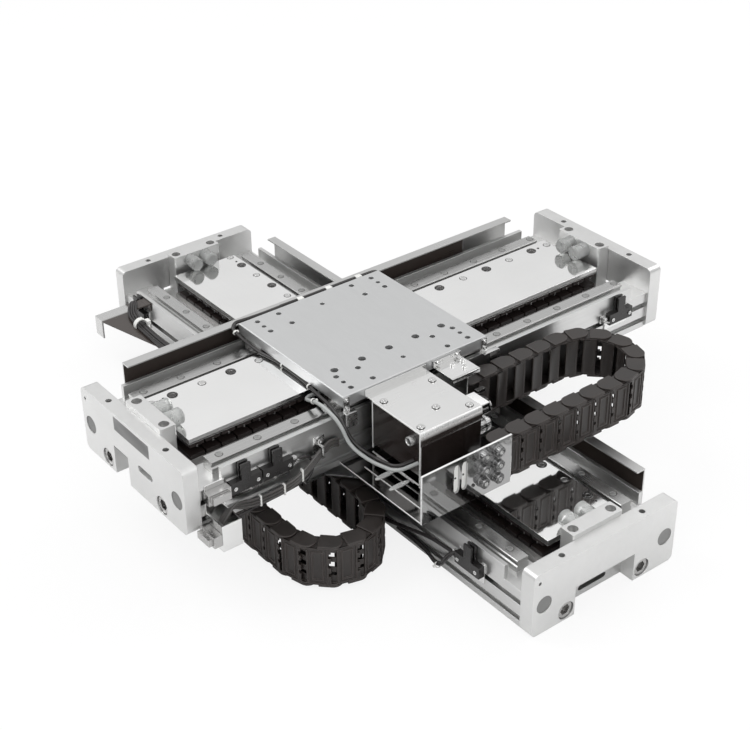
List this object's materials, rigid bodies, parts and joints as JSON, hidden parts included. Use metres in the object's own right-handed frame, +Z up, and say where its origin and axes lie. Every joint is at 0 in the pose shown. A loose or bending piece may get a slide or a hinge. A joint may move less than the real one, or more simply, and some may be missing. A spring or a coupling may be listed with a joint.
{
  "type": "two-axis linear motor stage",
  "caption": "Cross-stacked stage: two ironless linear-motor axes with rail-guided tables, magnet ways, end plates, limit sensors and cable chains.",
  "frame": {"origin": "centre of the lower base's bottom face", "axes": "+X along the lower axis, +Y along the upper axis, +Z up out of the tables"},
  "size_m": [0.992, 0.832, 0.207],
  "materials": {
    "extrusion": "satin anodised",
    "plate_milled": "fine milled, satin anodised",
    "milled": "fine milled, satin anodised",
    "rail_steel": "ground",
    "block_steel": "ground",
    "polished_plate": "polished, nickel plated",
    "yoke_steel": "nickel plated",
    "magnet": "dark coated",
    "coil_resin": "moulded resin",
    "urethane": "clear cast urethane",
    "bent_sheet": "anodised sheet",
    "bright_sheet": "plain sheet",
    "mirror_sheet": "polished sheet",
    "sensor_black": "moulded",
    "screw": "zinc plated",
    "plug_grey": "moulded",
    "chain_black": "moulded",
    "connector_metal": "nickel plated",
    "box_dark": "dark painted sheet",
    "cable_grey": "smooth jacket",
    "lead_black": "smooth jacket"
  },
  "bodies": {
    "lower_axis": {"lower_base": "extrusion", "lower_plate_left": "plate_milled", "lower_plate_right": "plate_milled", "lower_plugs": "plug_grey", "lower_screws": "screw", "lower_rail_near": "rail_steel", "lower_rail_far": "rail_steel", "lower_way_bottom": "yoke_steel", "lower_way_top": "polished_plate", "lower_magnets": "magnet", "lower_stopper_left": "plate_milled", "lower_stopper_right": "plate_milled", "lower_bumpers": "urethane", "lower_guard": "bent_sheet", "lower_tray": "bright_sheet", "lower_sensors": "sensor_black", "lower_sensor_brackets": "bright_sheet", "lower_chain_anchor": "bright_sheet", "lower_chain_fixed": "chain_black", "lower_sensor_lead": "lead_black"},
    "lower_carriage": {"lower_table": "milled", "lower_blocks": "block_steel", "lower_coil": "coil_resin", "lower_chain_hanger": "bright_sheet", "lower_chain_moving": "chain_black", "upper_base": "extrusion", "upper_plate_front": "plate_milled", "upper_plate_rear": "plate_milled", "upper_plugs": "plug_grey", "upper_screws": "screw", "upper_rail_near": "rail_steel", "upper_rail_far": "rail_steel", "upper_way_bottom": "yoke_steel", "upper_way_top": "polished_plate", "upper_magnets": "magnet", "upper_stopper_front": "plate_milled", "upper_stopper_rear": "plate_milled", "upper_bumpers": "urethane", "upper_guard": "bent_sheet", "upper_sensors": "sensor_black", "upper_sensor_brackets": "bright_sheet", "upper_shelf": "bright_sheet", "upper_gland_plate": "mirror_sheet", "upper_glands": "connector_metal", "upper_stand": "bright_sheet", "upper_flat_connectors": "connector_metal", "upper_chain_fixed": "chain_black", "upper_sensor_lead": "lead_black"},
    "upper_carriage": {"upper_table": "milled", "upper_blocks": "block_steel", "upper_coil": "coil_resin", "upper_box": "box_dark", "upper_box_cover": "bright_sheet", "upper_round_connectors": "connector_metal", "upper_chain_tab": "bright_sheet", "upper_chain_moving": "chain_black", "upper_table_cable": "cable_grey", "upper_table_lead": "lead_black"},
    "lower_chain_bend": {"lower_chain_bend": "chain_black"},
    "upper_chain_bend": {"upper_chain_bend": "chain_black"}
  },
  "joints": [
    {"name": "lower_slide", "type": "slide", "parent": "lower_axis", "child": "lower_carriage", "axis": [1, 0, 0], "range_m": [-0.353, 0.249], "deforming": ["lower_chain_fixed", "lower_chain_moving"]},
    {"name": "upper_slide", "type": "slide", "parent": "lower_carriage", "child": "upper_carriage", "axis": [0, 1, 0], "range_m": [-0.174, 0.268], "deforming": ["upper_chain_fixed", "upper_chain_moving"]},
    {"name": "lower_chain_roll", "type": "slide", "parent": "lower_axis", "child": "lower_chain_bend", "axis": [1, 0, 0], "range_m": [-0.1765, 0.1245]},
    {"name": "upper_chain_roll", "type": "slide", "parent": "lower_carriage", "child": "upper_chain_bend", "axis": [0, 1, 0], "range_m": [-0.087, 0.134]}
  ],
  "couplings": [
    {"joint": "lower_chain_roll", "follows": "lower_slide", "ratio": 0.5},
    {"joint": "upper_chain_roll", "follows": "upper_slide", "ratio": 0.5}
  ]
}
